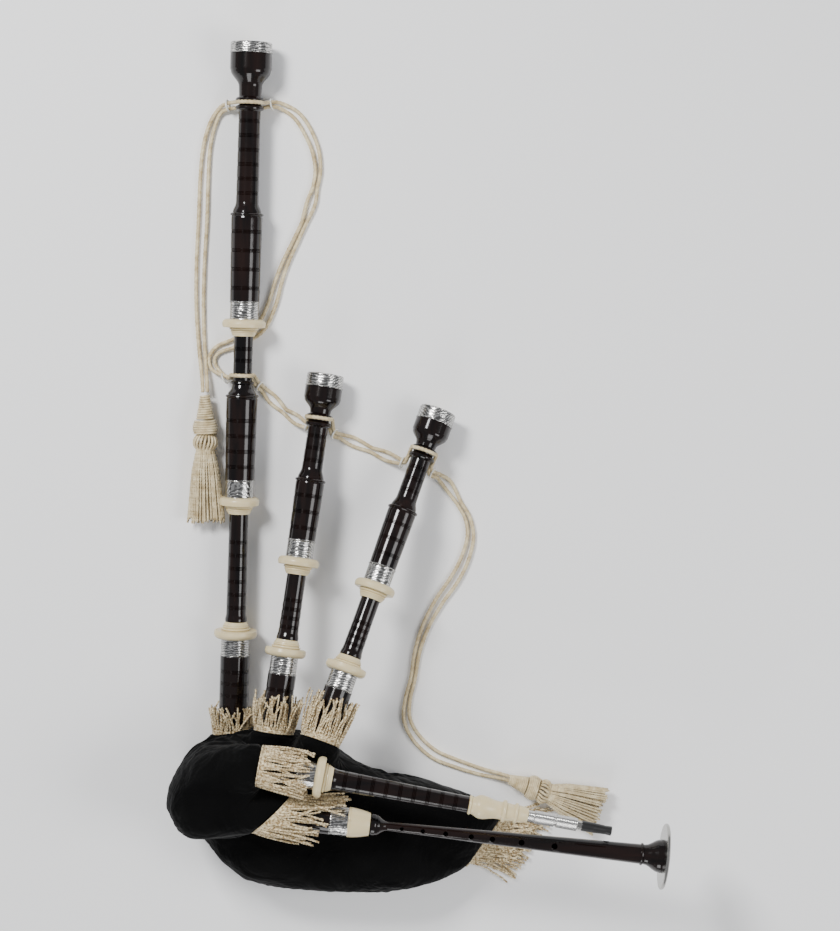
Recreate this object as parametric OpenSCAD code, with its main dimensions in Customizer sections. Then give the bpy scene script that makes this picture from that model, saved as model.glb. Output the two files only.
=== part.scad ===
// Great Highland bagpipes, laid flat on a table: bag in its velvet cover, bass drone,
// two tenor drones, blowpipe, chanter, and the cords that tie the drones together.
// Every pipe is turned about its own axis and is drawn standing on +Z, then laid in place.

/* [Stocks] */
// Radius of the bass drone's stock
bass_stock_r = 16.5; // [15.5:0.5:18]
// Radius of each tenor drone's stock
tenor_stock_r = 15.6; // [15:0.2:17]
// Radius of the blowpipe's stock
blow_stock_r = 15.6; // [15:0.2:17]
// Radius of the chanter's stock
chanter_stock_r = 16.4; // [15.6:0.2:18]
// Length of the bass drone's stock
bass_stock_l = 127; // [120:1:150]
// Length of each tenor drone's stock
tenor_stock_l = 92; // [84:1:98]
// Length of the blowpipe's stock
blow_stock_l = 80; // [76:1:86]
// Length of the chanter's stock
chanter_stock_l = 95; // [90:1:110]
// Radius of the socket that takes a drone's tenon
socket_r = 11.2; // [11:0.1:11.6]
// Depth of every socket
socket_l = 32; // [28:1:40]
// Radius of the air hole below a socket
stock_bore_r = 8; // [7:0.5:9]

/* [Tuning slides] */
// Thickness of hemp between a tuning pin's bare wood and its chamber
hemp_t = 0.6; // [0.4:0.1:1]
// Length of pin that is inside the joint above
pin_in = 60; // [50:1:65]
// Depth of the tuning chambers
chamber_l = 86; // [80:1:95]
// Radial gap between a hemp winding and its chamber
hemp_gap = 0.05; // [0.03:0.01:0.09]
// Radius of the air hole through pins and tenons
air_r = 5; // [4:0.5:6]
// Length of the tenon in a stock
tenon_l = 26; // [22:1:27]

/* [Mounts and ferrules] */
// Radius of the bass drone's two upper mounts
bass_mount_r = 24.3; // [23:0.1:24.5]
// Radius of the mounts on the tenor drones
tenor_mount_r = 23; // [22:0.5:25]
// Radius of the blowpipe's mount
blow_mount_r = 22.3; // [21:0.1:23.5]
// Thickness of a mount's disc
disc_t = 9.5; // [8:0.5:10]
// Height of the stepped collar beside the disc
collar_h = 9.5; // [9:0.5:12]
// Thickness of wood between a chamber and the mount round it
seat_wall = 1.7; // [1.4:0.1:2]
// Length of a ferrule
ferrule_l = 20; // [16:1:22]
// Wall of a ferrule
ferrule_t = 1; // [0.8:0.1:1.2]
// How far the wood stands out beyond a ferrule
ferrule_step = 0.6; // [0.3:0.1:0.8]

/* [Bass drone] */
// Length of the bottom joint that shows above its stock
bass_bottom_l = 141; // [138:1:150]
// Length of the middle joint that shows above the bottom joint
bass_middle_l = 199; // [195:1:205]
// Largest radius of the bass drone's tuning chambers
bass_chamber_r = 17.4; // [17:0.2:18.4]
// Radius of the thin stem above the top chamber
bass_stem_r = 12.6; // [12:0.2:13.4]
// Length of the thin stem
bass_stem_l = 101; // [95:1:110]
// Radius of the bass drone's bell
bass_bell_r = 23; // [22:0.5:24]
// Radius of the outlet hole in the bass drone's bush
bass_outlet_r = 6.5; // [5:0.5:8]

/* [Tenor drones] */
// Length of a tenor bottom joint that shows above its stock
tenor_bottom_l = 92; // [90:1:100]
// How much further tenor b is pushed down its tuning pin than tenor a
tenor_b_closed = 6; // [4:1:10]
// Largest radius of a tenor drone's tuning chamber
tenor_chamber_r = 16; // [15.8:0.2:17]
// Radius of the thin stem above the chamber
tenor_stem_r = 11.6; // [11:0.2:12.4]
// Length of the thin stem
tenor_stem_l = 47; // [44:1:52]
// Radius of a tenor drone's bell
tenor_bell_r = 20.7; // [20:0.1:21.5]
// Radius of the outlet hole in a tenor drone's bush
tenor_outlet_r = 5; // [4:0.5:6]
// Length of the bush in a bell
bush_l = 14; // [12:1:16]

/* [Combing] */
// Depth of the fine cut rings on the wood
comb_d = 0.55; // [0.3:0.05:0.8]
// Distance between the three cuts of one ring
comb_w = 1.5; // [1.2:0.1:2]

/* [Blowpipe] */
// Length of the wooden stick that shows
stick_l = 168; // [160:1:185]
// Radius of the stick beside its mount
stick_r0 = 11.2; // [11:0.2:12]
// Radius of the stick at the bulb
stick_r1 = 8.9; // [8.4:0.1:9.6]
// Length of the bulb
bulb_l = 65; // [60:1:72]
// Largest radius of the bulb
bulb_r = 12.8; // [12:0.2:14]
// Radius of the air hole through the stick
blow_air_r = 5.5; // [5:0.5:6]
// Outer radius of the telescopic mouthpiece tube
tube_r = 4.5; // [4.2:0.1:4.8]
// Radial clearance of the telescopic tube in its sleeve
tube_gap = 0.05; // [0.02:0.01:0.09]
// Radius of the knurled collars
knurl_r = 7; // [6.6:0.1:7.4]
// Radius of the air hole in the mouthpiece tip
tip_air_r = 2.8; // [2.4:0.1:3]
// Length of the mouthpiece tip
tip_l = 33; // [30:1:36]
// Wall of the rubber valve body
valve_t = 1.2; // [1:0.1:1.6]

/* [Chanter] */
// Length of the chanter from the end of its stock's cup to the sole
chanter_l = 321; // [310:1:330]
// Length of the stock's cup
cup_l = 24; // [20:1:26]
// Radius of the chanter's tenon
chanter_tenon_r = 9.6; // [9:0.1:10]
// Radial clearance of the chanter's tenon in its stock
chanter_gap = 0.06; // [0.03:0.01:0.09]
// Smallest outer radius of the chanter, below its head
chanter_neck_r = 5; // [4.8:0.1:5.6]
// Outer radius of the chanter at its foot
chanter_foot_r = 10.8; // [10.4:0.2:11.6]
// Radius of the sole
sole_r = 35.7; // [33:0.1:38]
// Thickness of the sole
sole_t = 3.6; // [3:0.2:4]

/* [Bag] */
// Thickness of the bag's main body as it lies
bag_t = 100; // [90:1:104]
// Height of the bag's front, where the blowpipe and chanter come out
front_t = 156; // [145:1:160]
// Thickness of the velvet cover
cover_t = 1.5; // [1:0.1:2]
// Gap between the cover and the bag inside it
cover_gap = 1; // [0.6:0.1:1.5]
// Thickness of the hide
hide_t = 2.5; // [2:0.1:3]
// How far the cover's necks stand off the stocks
neck_gap = 3.4; // [3.2:0.1:4]
// Length of the hemp that ties the bag to a stock
binding_l = 8; // [6:1:10]

/* [Cords and fringes] */
// Thickness of one silk cord
cord_d = 4.6; // [4:0.2:4.8]
// Radius of the section of a cord ring
ring_wire_r = 0.8; // [0.6:0.1:1]
// Radius of a tassel's knot
knot_r = 13; // [12:0.5:14]
// Length of a tassel
tassel_l = 140; // [130:1:145]

/* [Hidden] */
$fn = 64;

// The whole instrument is moved so that its origin is under the middle of its box
origin = [4, 3, 0];

// Where each pipe leaves its stock: x, y, z, heading and rise in degrees
bass_at = [-208, -193, 24.6, 88.05, 0];
tenor_a_at = [-150, -207, 66, 81.8, -8];
tenor_b_at = [-83, -219.5, 98.6, 69.9, -14.5];
blow_at = [-113, -322, 151, -10.7, 0];
chanter_at = [-78.5, -378, 128, -6.5, -0.5];

// How far down each stock the cover's neck ends
bass_tape = -105;
tenor_a_tape = -80;
tenor_b_tape = -74;
blow_tape = -57;
chanter_tape = -80;

wood = [0.03, 0.024, 0.022];
ivory = [0.86, 0.8, 0.64];
silver = [0.75, 0.74, 0.72];
velvet = [0.02, 0.02, 0.022];
silk = [0.72, 0.62, 0.42];
hemp = [0.75, 0.66, 0.42];
cane = [0.8, 0.68, 0.38];

mount_h = disc_t + collar_h;
pin_r = socket_r - hemp_t;
seat_r = socket_r + seat_wall;
tip_r = socket_r + 1;
tenon_r = pin_r - 0.2;
blow_socket_r = 10.2;
blow_tenon_r = blow_socket_r - hemp_gap;
bass_ferrule_r = bass_stock_r - ferrule_step;
tenor_ferrule_r = tenor_stock_r - ferrule_step;
bass_top_l = mount_h + ferrule_l + bass_stem_l + 183;
tenor_top_l = mount_h + ferrule_l + tenor_stem_l + 139;
sleeve_l = 28.5;
guide_l = 14;

function lerp(a, b, t) = a + (b - a) * t;
function arc(r, z, e, a0, a1, n = 6) =
    [for (k = [0:n]) [r + e * cos(lerp(a0, a1, k / n)), z + e * sin(lerp(a0, a1, k / n))]];
function comb(z, r) =
    [for (k = [-1:1]) each [[r, z + (k - 0.32) * comb_w], [r - comb_d, z + k * comb_w],
                            [r, z + (k + 0.32) * comb_w]]];
function combs(z0, r0, z1, r1, n, pitch) =
    [for (i = [0:n - 1]) each comb(z0 + (i + 0.5) * (z1 - z0) / n, lerp(r0, r1, (i + 0.5) / n))];
function bead(z, r, b) = arc(r, z, b, -90, 90);
// A smooth S from one radius to another, for coves and flares
function cove(z0, r0, z1, r1, n = 6) =
    [for (k = [0:n]) [lerp(r0, r1, 0.5 - 0.5 * cos(180 * k / n)), lerp(z0, z1, k / n)]];

// Lays a pipe along its heading and rise, z further along its axis
module lay(at, z = 0) {
    translate(origin + [at[0], at[1], at[2]]) rotate([0, 90 - at[4], at[3]])
        translate([0, 0, z]) children();
}

module turned(p) {
    rotate_extrude() polygon(concat([[0, p[0][1]]], p, [[0, p[len(p) - 1][1]]]));
}

module hole(r, z0, z1) {
    translate([0, 0, z0]) cylinder(h = z1 - z0, r = r);
}

module pipe(r, bore, z0, z1) {
    difference() {
        hole(r, z0, z1);
        hole(bore, z0 - 1, z1 + 1);
    }
}

// ---- Pieces that several pipes share ----

// A projecting mount: a disc, domed on the side of its ferrule, with a stepped collar.
// Drawn with the collar's free end at z = 0 and the domed side up.
module mount(r, end_r, seat = seat_r) {
    dome = disc_t * 0.55;
    difference() {
        turned(concat(
            cove(0, tip_r, collar_h * 0.42, 14, 4),
            bead(collar_h * 0.56, 13.6, collar_h * 0.12),
            [[14.2, collar_h * 0.7]],
            bead(collar_h * 0.85, 14.8, collar_h * 0.13),
            [[15, collar_h], [r - 2.2, collar_h], [r - 0.6, collar_h + 0.7]],
            arc(r - dome, mount_h - dome, dome, 0, 90),
            [[seat_r + 0.4, mount_h]]));
        hole(end_r, -1, 4);
        hole(seat, 3, mount_h + 1);
    }
}

// A silver ferrule with a bead at its top edge; r is its outer radius
module ferrule(r) {
    difference() {
        turned(concat([[r, 0], [r, ferrule_l - 2.2]], bead(ferrule_l - 1.1, r, 0.9), [[r, ferrule_l]]));
        hole(r - ferrule_t, -1, ferrule_l + 1);
    }
}

// A drone stock: its mouth is at z = 0 and its foot in the bag
module drone_stock(r, length) {
    seat = r - ferrule_step - ferrule_t;
    difference() {
        turned(concat([[r - 1, -length], [r, -length + 1.5]],
                      [for (i = [0:2]) each comb(-64 + 13.5 * i, r)],
                      [[r, -ferrule_l], [seat, -ferrule_l], [seat, 0]]));
        hole(socket_r, -socket_l, 1);
        hole(stock_bore_r, -length - 1, -socket_l + 1);
    }
}

// A bottom joint: tenon, mount seat, combed body and plain tuning pin
module bottom_joint(shown, n) {
    neck = mount_h + 1;
    pin_top = shown + pin_in;
    flare = [[tenon_r, neck - 1], [12, neck - 1], [12.3, neck]];
    difference() {
        turned(concat([[tenon_r - 0.6, -tenon_l], [tenon_r, -tenon_l + 1]], flare,
                      cove(neck + 1, 12.3, neck + 8, 11.2, 4),
                      combs(neck + 8, 11.2, shown - 24, 10.7, n),
                      [[pin_r, shown - 22], [pin_r, pin_top - 38], [pin_r - 0.6, pin_top - 38],
                       [pin_r - 0.6, pin_top - 6], [pin_r, pin_top - 6], [pin_r, pin_top - 1],
                       [pin_r - 1, pin_top]]));
        hole(air_r, -tenon_l - 1, pin_top + 1);
    }
}

// The hemp on a tuning pin whose top is at z
module pin_hemp(z) {
    pipe(socket_r - hemp_gap, pin_r - 0.6, z - 38, z - 6);
}

// The sounding end above a tuning chamber. z = 0 is the free end of its mount's collar.
module top_joint(chamber_r, n_chamber, stem_r, stem_l, n_stem, bell_r, length) {
    top_seat = mount_h + ferrule_l;
    ferrule_seat = bell_r == bass_bell_r ? bass_ferrule_r : tenor_ferrule_r;
    bass = bell_r == bass_bell_r;
    cap_l = bass ? 12 : 15;
    bell = length - cap_l;
    bell_l = bass ? 17 : 12;
    flare_l = bass ? 14 : 9;
    guide = bell - bell_l - flare_l - guide_l - (bass ? 17 : 9);
    chamber_end = guide - stem_l - 12;
    difference() {
        turned(concat(
            [[seat_r, 3], [seat_r, mount_h], [ferrule_seat - ferrule_t, mount_h],
             [ferrule_seat - ferrule_t, top_seat], [chamber_r - 1, top_seat]],
            combs(top_seat + 4, chamber_r - 0.9, chamber_end - 10, chamber_r, n_chamber),
            [[chamber_r, chamber_end - 5]],
            bead(chamber_end - 1.5, chamber_r - 0.4, 1.6),
            cove(chamber_end + 0.6, chamber_r - 1.4, chamber_end + 12, stem_r),
            combs(chamber_end + 14, stem_r, guide - 4, stem_r - 0.5, n_stem),
            [[stem_r - 0.4, guide - 1]],
            bead(guide + 2.6, stem_r + 0.8, 2.6),
            arc(stem_r + 1.6, guide + guide_l / 2, 1.9, 250, 110),
            bead(guide + guide_l - 2.6, stem_r + 0.8, 2.6),
            [[stem_r - 0.2, guide + guide_l + 1]],
            cove(bell - bell_l - flare_l - 5, stem_r + 0.2, bell - bell_l - 2, bell_r - 0.8, 8),
            [[bell_r, bell - bell_l], [bell_r, bell - 1], [bell_r - 0.6, bell - 0.6],
             [bell_r - 0.6, bell], [bell_r - 1.6, bell], [bell_r - 1.6, length - 2]]));
        hole(socket_r, 0, chamber_l);
        hole(air_r + 1, chamber_l - 1, length - bush_l);
        hole(bell_r - 7, length - bush_l, length + 1);
    }
}

module ring_cap(bell_r, cap_l) {
    difference() {
        turned(concat(bead(0.9, bell_r - 0.2, 0.9), [[bell_r - 0.1, 2], [bell_r - 0.1, cap_l - 1],
                      [bell_r - 0.9, cap_l]]));
        hole(bell_r - 1.6, -1, cap_l - 2);
        hole(bell_r - 5, cap_l - 3, cap_l + 1);
    }
}

module bell_bush(bell_r, outlet_r, length) {
    pipe(bell_r - 7, outlet_r, length - bush_l, length - 1);
}

// A cane drone reed, pushed into the foot of a bottom joint, with its tongue's slot
module drone_reed(l) {
    difference() {
        turned([[3.6, -tenon_l - l], [4.6, -tenon_l - l + 2], [4.6, -tenon_l], [air_r, -tenon_l],
                [air_r, -tenon_l + 8]]);
        hole(2.6, -tenon_l - l + 4, -tenon_l + 9);
        translate([3.4, -1.6, -tenon_l - l + 8]) cube([3, 3.2, l * 0.55]);
    }
}

// ---- Stocks ----

module bass_stock() { color(wood) lay(bass_at) drone_stock(bass_stock_r, bass_stock_l); }
module tenor_a_stock() { color(wood) lay(tenor_a_at) drone_stock(tenor_stock_r, tenor_stock_l); }
module tenor_b_stock() { color(wood) lay(tenor_b_at) drone_stock(tenor_stock_r, tenor_stock_l); }

// A plain stock, for the blowpipe and the chanter
module plain_stock(r, length, mouth_r, mouth_l) {
    seat = r - ferrule_step - ferrule_t;
    difference() {
        turned([[r - 1, -length], [r, -length + 1.5], [r, -ferrule_l], [seat, -ferrule_l], [seat, 0]]);
        hole(mouth_r, -mouth_l, 1);
        hole(stock_bore_r, -length - 1, -mouth_l + 1);
    }
}
module blowpipe_stock() {
    color(wood) lay(blow_at) plain_stock(blow_stock_r, blow_stock_l, blow_socket_r, socket_l);
}
module chanter_stock() {
    color(wood) lay(chanter_at)
        plain_stock(chanter_stock_r, chanter_stock_l, chanter_tenon_r + chanter_gap, 18);
}

module stock_ferrules() {
    color(silver) {
        for (s = [[bass_at, bass_ferrule_r], [tenor_a_at, tenor_ferrule_r],
                  [tenor_b_at, tenor_ferrule_r], [blow_at, blow_stock_r - ferrule_step],
                  [chanter_at, chanter_stock_r - ferrule_step]])
            lay(s[0]) rotate([180, 0, 0]) ferrule(s[1]);
    }
}

module chanter_stock_cup() {
    color(ivory) lay(chanter_at) difference() {
        turned(concat([[chanter_stock_r - 0.6, 0]], arc(chanter_stock_r - 1.2, 1.4, 1.2, -60, 60, 4),
                      [for (k = [0:8]) [lerp(chanter_stock_r - 0.2, 12.7, pow(k / 8, 1.5)),
                                        lerp(2.6, cup_l - 1, k / 8)]],
                      [[12.2, cup_l]]));
        hole(chanter_tenon_r + chanter_gap, -1, cup_l + 1);
    }
}

// ---- Bag ----

// Plan of the bag's main body, anticlockwise from its tail
body_plan = [[94, -397], [60, -376], [21, -362], [-39, -350], [-70, -338], [-100, -318],
    [-134, -299], [-180, -293], [-228, -304], [-258, -330], [-270, -362], [-262, -390],
    [-244, -412], [-226, -438], [-200, -460], [-162, -470], [-107, -475], [-47, -476],
    [-14, -473], [21, -467], [52, -454], [73, -425.5]];
body_mid = [-110, -386];
// Plan of the bag's front, folded over at the left
front_plan = [[-166, -350], [-172, -318], [-196, -300], [-232, -304], [-262, -326], [-276, -346],
    [-280, -366], [-268, -392], [-254, -403], [-230, -403], [-202, -398], [-178, -380]];
front_mid = [-222, -352];

// The body thins towards its tail
function body_fall(x) = x < -30 ? 1 : 1 - 0.58 * pow((x + 30) / 124, 1.3);
function pillow_point(p, mid, t, inset, a, fall) =
    let (out = norm(p - mid), share = pow(cos(a), 0.55) * (1 - inset / out),
         q = mid + share * (p - mid), high = t * (fall ? body_fall(q[0]) : 1),
         up = sin(a) >= 0 ? 0.6 * pow(sin(a), 0.8) : -0.4 * pow(-sin(a), 0.6))
    [q[0], q[1], 0.4 * high + up * (high - 2 * inset)];

module pillow(plan, mid, t, inset, fall) {
    n = len(plan);
    rows = 9;
    angles = [for (k = [0:rows - 1]) -72 + 144 * k / (rows - 1)];
    high = t * (fall ? body_fall(mid[0]) : 1);
    points = concat([for (a = angles) each [for (p = plan) pillow_point(p, mid, t, inset, a, fall)]],
                    [[mid[0], mid[1], inset * 0.8], [mid[0], mid[1], high - inset * 1.2]]);
    faces = concat(
        [for (k = [0:rows - 2]) for (i = [0:n - 1])
            each [[k * n + i, (k + 1) * n + i, (k + 1) * n + (i + 1) % n],
                  [k * n + i, (k + 1) * n + (i + 1) % n, k * n + (i + 1) % n]]],
        [for (i = [0:n - 1]) [rows * n, i, (i + 1) % n]],
        [for (i = [0:n - 1]) [rows * n + 1, (rows - 1) * n + (i + 1) % n, (rows - 1) * n + i]]);
    translate(origin) polyhedron(points, faces, convexity = 6);
}

// Each neck: its pipe, stock radius, tape, foot of the stock, and where it joins the bag
NECKS = [
    [bass_at, bass_stock_r, bass_tape, bass_stock_l, [-216, -350, 42], 32],
    [tenor_a_at, tenor_stock_r, tenor_a_tape, tenor_stock_l, [-176, -338, 64], 32],
    [tenor_b_at, tenor_stock_r, tenor_b_tape, tenor_stock_l, [-130, -350, 58], 34],
    [blow_at, blow_stock_r, blow_tape, blow_stock_l, [-222, -340, 108], 38],
    [chanter_at, chanter_stock_r, chanter_tape, chanter_stock_l, [-226, -364, 100], 38]
];

module neck_form(s, inset, short) {
    hull() {
        lay(s[0], s[2] - 15)
            cylinder(h = 15 - short, r = s[1] + neck_gap + cover_t - inset, $fn = 24);
        translate(origin + s[4]) sphere(r = s[5] - inset, $fn = 20);
    }
}

// The bag's outer form, drawn in by inset; short is how far the necks stop before the tape
module bag_form(inset, short) {
    pillow(body_plan, body_mid, bag_t, inset, true);
    pillow(front_plan, front_mid, front_t, inset, false);
    for (s = NECKS)
        neck_form(s, inset, short);
}

// Room for the stocks, a little over their size because its sides are flat
module stock_room(gap) {
    for (s = NECKS)
        lay(s[0], -s[3] - 1) cylinder(h = s[3] + 6, r = (s[1] + gap) / cos(7.5), $fn = 24);
}

module bag_cover() {
    color(velvet) difference() {
        bag_form(0, 0);
        bag_form(cover_t, 2);
        stock_room(neck_gap - 0.2);
    }
}

module bag() {
    color("tan") difference() {
        bag_form(cover_t + cover_gap, 2);
        bag_form(cover_t + cover_gap + hide_t, 4);
        stock_room(0.02);
    }
}

// Each binding lies on the hide where it narrows to the stock, inside the cover
module stock_bindings() {
    color(hemp) difference() {
        for (s = NECKS)
            intersection() {
                neck_form(s, cover_t + 0.2, 2);
                lay(s[0], s[2] - binding_l - 3) cylinder(h = binding_l, r = s[1] + 16, $fn = 48);
            }
        bag_form(cover_t + cover_gap - 0.02, 1);
    }
}

// ---- Drones: pieces fixed to the stocks ----

module bass_bottom_joint() { color(wood) lay(bass_at) bottom_joint(bass_bottom_l, 6); }
module tenor_a_bottom_joint() { color(wood) lay(tenor_a_at) bottom_joint(tenor_bottom_l, 4); }
module tenor_b_bottom_joint() {
    color(wood) lay(tenor_b_at) bottom_joint(tenor_bottom_l - tenor_b_closed, 4);
}

// A bottom mount faces the other way, and seats straight on the tenon
module bottom_mount(r, tenon) {
    translate([0, 0, mount_h]) rotate([180, 0, 0]) mount(r, tenon, tenon);
}
module bass_bottom_mount() { color(ivory) lay(bass_at) bottom_mount(bass_mount_r, tenon_r); }
module tenor_a_bottom_mount() { color(ivory) lay(tenor_a_at) bottom_mount(tenor_mount_r, tenon_r); }
module tenor_b_bottom_mount() { color(ivory) lay(tenor_b_at) bottom_mount(tenor_mount_r, tenon_r); }

// Hemp on the tenons in the stocks and on the three pins that belong to the stocks
module tenon_hemp() {
    color(hemp) {
        for (at = [bass_at, tenor_a_at, tenor_b_at])
            lay(at) pipe(socket_r, tenon_r, -tenon_l + 3, -4);
        lay(bass_at) pin_hemp(bass_bottom_l + pin_in);
        lay(tenor_a_at) pin_hemp(tenor_bottom_l + pin_in);
        lay(tenor_b_at) pin_hemp(tenor_bottom_l - tenor_b_closed + pin_in);
    }
}

module drone_reeds() {
    color(cane) {
        lay(bass_at) drone_reed(55);
        lay(tenor_a_at) drone_reed(42);
        lay(tenor_b_at) drone_reed(42);
    }
}

// ---- Bass drone's middle joint ----

module bass_middle_joint() {
    top_seat = mount_h + ferrule_l;
    seat = bass_ferrule_r - ferrule_t;
    end = bass_middle_l - 69;
    pin_top = bass_middle_l + pin_in;
    color(wood) lay(bass_at, bass_bottom_l) difference() {
        turned(concat(
            [[seat_r, 3], [seat_r, mount_h], [seat, mount_h], [seat, top_seat],
             [bass_chamber_r - 1, top_seat]],
            combs(top_seat + 6, bass_chamber_r - 1, end - 16, bass_chamber_r, 4),
            [[bass_chamber_r, end - 1]],
            bead(end + 2, bass_chamber_r - 0.6, 1.6),
            cove(end + 4, bass_chamber_r - 1.4, end + 12, 11.8),
            bead(end + 17, 11, 2),
            [[pin_r, end + 20], [pin_r, bass_middle_l - 30]],
            comb(bass_middle_l - 27, pin_r), comb(bass_middle_l - 14, pin_r),
            [[pin_r, pin_top - 38], [pin_r - 0.6, pin_top - 38],
             [pin_r - 0.6, pin_top - 6], [pin_r, pin_top - 6], [pin_r, pin_top - 1],
             [pin_r - 1, pin_top]]));
        hole(socket_r, 0, chamber_l);
        hole(air_r, chamber_l - 1, pin_top + 1);
    }
}
module bass_middle_mount() {
    color(ivory) lay(bass_at, bass_bottom_l) mount(bass_mount_r - 1.8, socket_r);
}
module bass_middle_ferrule() {
    color(silver) lay(bass_at, bass_bottom_l + mount_h) ferrule(bass_ferrule_r);
}
module bass_middle_hemp() {
    color(hemp) lay(bass_at, bass_bottom_l) pin_hemp(bass_middle_l + pin_in);
}

// ---- Sounding ends ----

bass_top_z = bass_bottom_l + bass_middle_l;
tenor_b_top_z = tenor_bottom_l - tenor_b_closed;

module lay_bass_top(z = 0) { lay(bass_at, bass_top_z + z) children(); }
module lay_tenor_a_top(z = 0) { lay(tenor_a_at, tenor_bottom_l + z) children(); }
module lay_tenor_b_top(z = 0) { lay(tenor_b_at, tenor_b_top_z + z) children(); }

module bass_top_joint() {
    color(wood) lay_bass_top()
        top_joint(bass_chamber_r, 4, bass_stem_r, bass_stem_l, 6, bass_bell_r, bass_top_l);
}
module bass_top_mount() { color(ivory) lay_bass_top() mount(bass_mount_r, socket_r); }
module bass_top_ferrule() { color(silver) lay_bass_top(mount_h) ferrule(bass_ferrule_r); }
module bass_ring_cap() { color(silver) lay_bass_top(bass_top_l - 12) ring_cap(bass_bell_r, 12); }
module bass_bell_bush() { color(ivory) lay_bass_top() bell_bush(bass_bell_r, bass_outlet_r, bass_top_l); }

module tenor_top() {
    top_joint(tenor_chamber_r, 3, tenor_stem_r, tenor_stem_l, 3, tenor_bell_r, tenor_top_l);
}
module tenor_a_top_joint() { color(wood) lay_tenor_a_top() tenor_top(); }
module tenor_a_top_mount() { color(ivory) lay_tenor_a_top() mount(tenor_mount_r, socket_r); }
module tenor_a_top_ferrule() { color(silver) lay_tenor_a_top(mount_h) ferrule(tenor_ferrule_r); }
module tenor_a_ring_cap() { color(silver) lay_tenor_a_top(tenor_top_l - 15) ring_cap(tenor_bell_r, 15); }
module tenor_a_bell_bush() {
    color(ivory) lay_tenor_a_top() bell_bush(tenor_bell_r, tenor_outlet_r, tenor_top_l);
}
module tenor_b_top_joint() { color(wood) lay_tenor_b_top() tenor_top(); }
module tenor_b_top_mount() { color(ivory) lay_tenor_b_top() mount(tenor_mount_r, socket_r); }
module tenor_b_top_ferrule() { color(silver) lay_tenor_b_top(mount_h) ferrule(tenor_ferrule_r); }
module tenor_b_ring_cap() { color(silver) lay_tenor_b_top(tenor_top_l - 15) ring_cap(tenor_bell_r, 15); }
module tenor_b_bell_bush() {
    color(ivory) lay_tenor_b_top() bell_bush(tenor_bell_r, tenor_outlet_r, tenor_top_l);
}

// ---- Blowpipe ----

bulb_z = stick_l;
sleeve_z = bulb_z + bulb_l - sleeve_l;
knurl_z = bulb_z + bulb_l + 7;
nose_z = knurl_z + 22;
collar_z = nose_z + 2;
tip_z = collar_z + 28;

module blowpipe_stick() {
    color(wood) lay(blow_at) difference() {
        turned(concat([[blow_tenon_r - 0.5, -30], [blow_tenon_r, -29], [blow_tenon_r, mount_h],
                       [12.2, mount_h]],
                      cove(mount_h + 0.5, 12.2, mount_h + 5, stick_r0, 4),
                      combs(mount_h + 6, stick_r0, stick_l - 7, stick_r1, 9),
                      [[stick_r1, stick_l], [7.5, stick_l], [7.5, stick_l + 17]]));
        hole(blow_air_r, -31, stick_l + 18);
        hole(7, -31, -24);
    }
}
module blowpipe_mount() {
    color(ivory) lay(blow_at) bottom_mount(blow_mount_r, blow_tenon_r);
}
module blowpipe_bulb() {
    color(ivory) lay(blow_at, bulb_z) difference() {
        turned(concat([[9.4, 0]], bead(1.8, 9, 1.6), cove(3.6, 9.4, 13, bulb_r, 5),
                      cove(14, bulb_r, bulb_l * 0.5, 9.6, 6), bead(bulb_l * 0.6, 9.8, 2.4),
                      cove(bulb_l * 0.66, 9.6, bulb_l * 0.74, 9, 3), bead(bulb_l * 0.8, 9.2, 2),
                      cove(bulb_l * 0.85, 9.2, bulb_l, 7.8, 4)));
        hole(7.5, -1, 17);
        hole(blow_air_r, 16, bulb_l + 1);
        hole(6, bulb_l - sleeve_l, bulb_l + 1);
    }
}
module valve_body() {
    color("dimgray") lay(blow_at) difference() {
        turned([[6.2, -46], [6.8, -45], [7, -44], [7, -24]]);
        hole(7 - valve_t, -47, -27);
        hole(blow_air_r, -28, -23);
    }
}
module valve_flap() {
    color("dimgray") lay(blow_at, -47.4) hole(6.2, 0, 1);
}
module adjusting_sleeve() {
    color(silver) lay(blow_at) difference() {
        turned(concat([[6, sleeve_z], [6, knurl_z]], arc(knurl_r - 0.8, knurl_z + 0.8, 0.8, -90, 0, 3),
                      arc(knurl_r - 0.8, nose_z - 0.8, 0.8, 0, 90, 3),
                      [[5.7, nose_z], [5.7, nose_z + 22]]));
        hole(tube_r + tube_gap, sleeve_z - 1, nose_z + 23);
    }
}
module lock_collar() {
    color(silver) lay(blow_at, collar_z) difference() {
        turned(concat(arc(knurl_r - 0.8, 0.8, 0.8, -90, 0, 3), arc(knurl_r - 0.8, 22.2, 0.8, 0, 90, 3)));
        hole(5.7 + 0.05, -1, 21);
        hole(tube_r + 0.5, 20, 24);
    }
}
module mouthpiece_tube() {
    color(silver) lay(blow_at) pipe(tube_r, tube_r - 1.2, sleeve_z + 12, tip_z + 13);
}
module mouthpiece_tip() {
    color("dimgray") lay(blow_at, tip_z) difference() {
        turned(concat(arc(4.8, 0.8, 0.8, -90, 0, 3), [[5.5, tip_l * 0.4], [4.7, tip_l * 0.8]],
                      arc(4.1, tip_l - 1, 1, 0, 90, 3)));
        hole(tube_r, -1, 13);
        hole(tip_air_r, 12, tip_l + 1);
    }
}

// ---- Chanter ----

foot_z = cup_l + chanter_l;

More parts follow.
